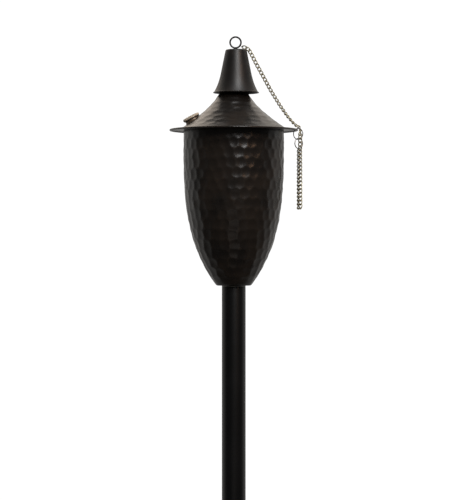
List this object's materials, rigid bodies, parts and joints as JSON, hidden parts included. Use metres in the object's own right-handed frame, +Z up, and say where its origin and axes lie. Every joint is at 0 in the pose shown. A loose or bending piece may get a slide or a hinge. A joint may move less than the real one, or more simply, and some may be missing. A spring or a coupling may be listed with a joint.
{
  "type": "garden torch",
  "caption": "Garden oil torch: hammered metal reservoir with brim, chained snuffer cap and filler cap, on a sectional black pole with a ground spike.",
  "frame": {"origin": "on the pole's axis at the ground line, where the spike's shoulder meets the soil", "axes": "+Z up along the pole; +X towards the snuffer's chain, so the filler cap is at -X; -Y is the front"},
  "size_m": [0.1424, 0.137, 1.5239],
  "materials": {
    "stake_iron": "black powder coat with earth wear",
    "spigot_steel": "plain drawn steel",
    "zinc_fastener": "zinc plated",
    "zinc_washer": "zinc plated",
    "pole_black": "matte black powder coat",
    "hammered_bronze": "hammered dark bronze, satin lacquer",
    "satin_bronze": "smooth dark bronze, satin lacquer",
    "dark_bronze": "dark bronze",
    "fibre_gasket": "pressed fibre",
    "wick_brass": "spun brass",
    "wick_fibre": "braided glass fibre",
    "rubber_gasket": "dark rubber",
    "filler_brass": "pale nickel brass, knurled",
    "black_wire": "black lacquered wire",
    "ring_nickel": "nickel plated wire",
    "chain_antique": "antique nickel brass"
  },
  "bodies": {
    "stake": {"ground_spike": "stake_iron", "foot_bar": "stake_iron", "stake_collar": "stake_iron", "stake_spigot": "spigot_steel", "stake_nut": "zinc_fastener"},
    "lower_pole": {"pole_lower": "pole_black", "lower_joint_sleeve": "spigot_steel"},
    "middle_pole": {"pole_middle": "pole_black", "upper_joint_sleeve": "spigot_steel"},
    "upper_pole": {"pole_upper": "pole_black", "pole_top_plug": "spigot_steel"},
    "washer": {"head_washer": "zinc_washer"},
    "head": {"head_stud": "zinc_fastener", "bowl_socket": "zinc_fastener", "reservoir_bowl": "hammered_bronze", "reservoir_top": "hammered_bronze", "burner_bushing": "dark_bronze", "burner_gasket": "fibre_gasket", "wick_holder": "wick_brass", "filler_neck": "dark_bronze", "chain_lead": "chain_antique"},
    "wick": {"wick": "wick_fibre"},
    "cap_gasket": {"filler_gasket": "rubber_gasket"},
    "filler_cap": {"filler_cap": "filler_brass"},
    "snuffer": {"snuffer_cap": "satin_bronze", "snuffer_ring": "black_wire", "snuffer_stud": "black_wire", "snuffer_nut": "zinc_fastener", "chain_top_ring": "ring_nickel"},
    "hanging_chain": {"brim_ring": "ring_nickel", "chain_end_ring": "ring_nickel", "chain_drop": "chain_antique"}
  },
  "joints": [
    {"name": "lower_joint_pull", "type": "slide", "parent": "stake", "child": "lower_pole", "axis": [0, 0, 1], "range_m": [0, 0.05]},
    {"name": "middle_joint_pull", "type": "slide", "parent": "lower_pole", "child": "middle_pole", "axis": [0, 0, 1], "range_m": [0, 0.05]},
    {"name": "upper_joint_pull", "type": "slide", "parent": "middle_pole", "child": "upper_pole", "axis": [0, 0, 1], "range_m": [0, 0.05]},
    {"name": "head_rise", "type": "slide", "parent": "upper_pole", "child": "washer", "axis": [0, 0, 1], "range_m": [0, 0.0121]},
    {"name": "head_unscrew", "type": "hinge", "parent": "washer", "child": "head", "pos_m": [0, 0, 1.0571], "axis": [0, 0, 1], "range_deg": [0, 2880]},
    {"name": "wick_raise", "type": "slide", "parent": "head", "child": "wick", "axis": [0, 0, 1], "range_m": [0, 0.012]},
    {"name": "cap_rise", "type": "slide", "parent": "head", "child": "cap_gasket", "axis": [-0.4695, 0, 0.8829], "range_m": [0, 0.0046]},
    {"name": "cap_unscrew", "type": "hinge", "parent": "cap_gasket", "child": "filler_cap", "pos_m": [-0.0454, 0, 1.2376], "axis": [-0.4695, 0, 0.8829], "range_deg": [0, 1080]},
    {"name": "snuffer_lift", "type": "slide", "parent": "head", "child": "snuffer", "axis": [0, 0, 1], "range_m": [0, 0.03], "deforming": ["chain_lead"]},
    {"name": "chain_swing", "type": "hinge", "parent": "head", "child": "hanging_chain", "pos_m": [0.0686, 0, 1.2199], "axis": [-0.5736, -0.8192, 0], "range_deg": [-8, 30]}
  ],
  "couplings": [
    {"joint": "head_rise", "follows": "head_unscrew", "m_per_rad": 0.00023873},
    {"joint": "cap_rise", "follows": "cap_unscrew", "m_per_rad": 0.00023873}
  ]
}
